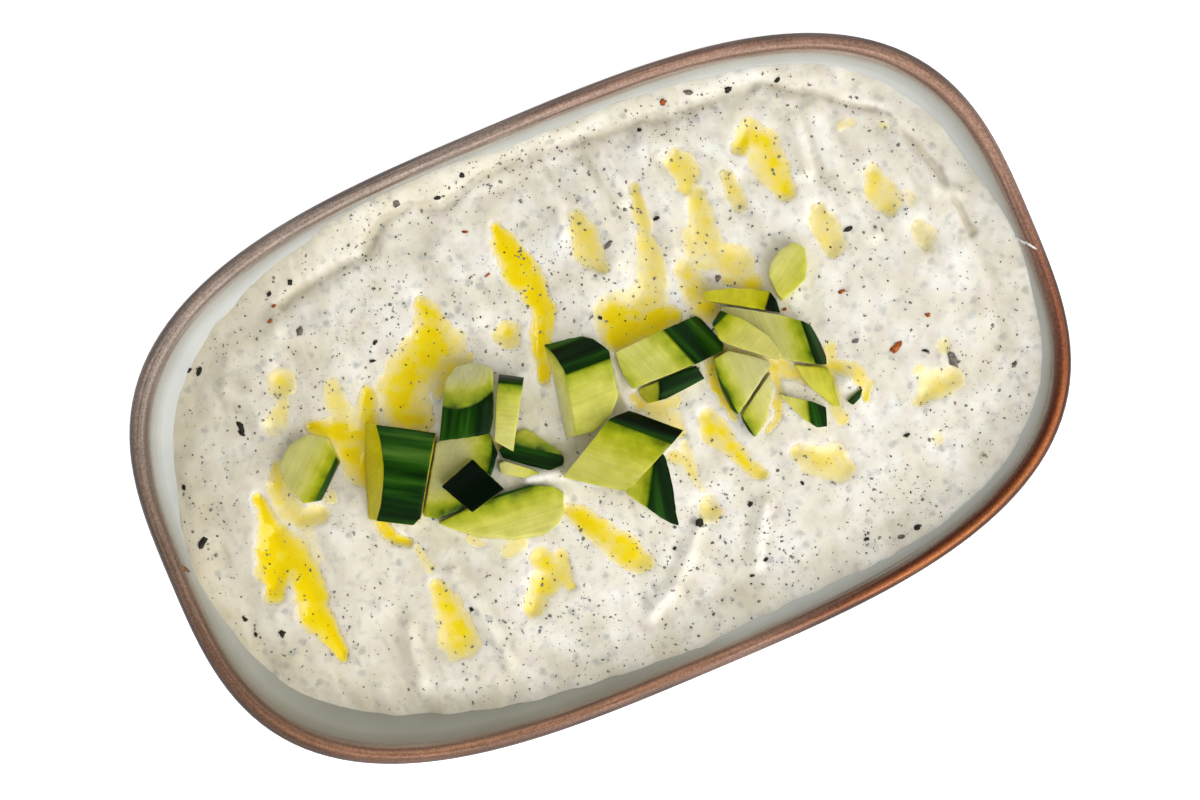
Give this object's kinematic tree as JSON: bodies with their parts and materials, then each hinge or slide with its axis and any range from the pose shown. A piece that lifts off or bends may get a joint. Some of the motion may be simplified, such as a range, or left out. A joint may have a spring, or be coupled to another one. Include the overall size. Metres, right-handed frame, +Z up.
{
  "type": "dish of haydari",
  "caption": "Oblong stoneware dish filled with thick, herb-flecked yoghurt dip, drizzled with olive oil and topped with chunks of cut cucumber.",
  "frame": {"origin": "on the table under the middle of the dish", "axes": "+X along the dish's long side, +Y across it, +Z up"},
  "size_m": [0.2, 0.126, 0.0325],
  "materials": {
    "stoneware": "glossy warm grey glaze that breaks to rust brown on the rim",
    "yoghurt": "thick strained yoghurt, soft satin, flecked with herbs",
    "cucumber": "moist cut flesh, pale green core, dark green skin",
    "olive_oil": "clear golden oil in thin pools"
  },
  "bodies": {
    "root": {"dish": "stoneware", "dip": "yoghurt", "cucumber_01": "cucumber", "cucumber_02": "cucumber", "cucumber_03": "cucumber", "cucumber_04": "cucumber", "cucumber_05": "cucumber", "cucumber_06": "cucumber", "cucumber_07": "cucumber", "cucumber_08": "cucumber", "cucumber_09": "cucumber", "cucumber_10": "cucumber", "cucumber_11": "cucumber", "cucumber_12": "cucumber", "cucumber_13": "cucumber", "cucumber_14": "cucumber", "cucumber_15": "cucumber", "cucumber_16": "cucumber", "cucumber_17": "cucumber", "cucumber_18": "cucumber", "cucumber_19": "cucumber", "cucumber_20": "cucumber", "cucumber_21": "cucumber", "cucumber_22": "cucumber", "cucumber_23": "cucumber"}
  },
  "joints": []
}
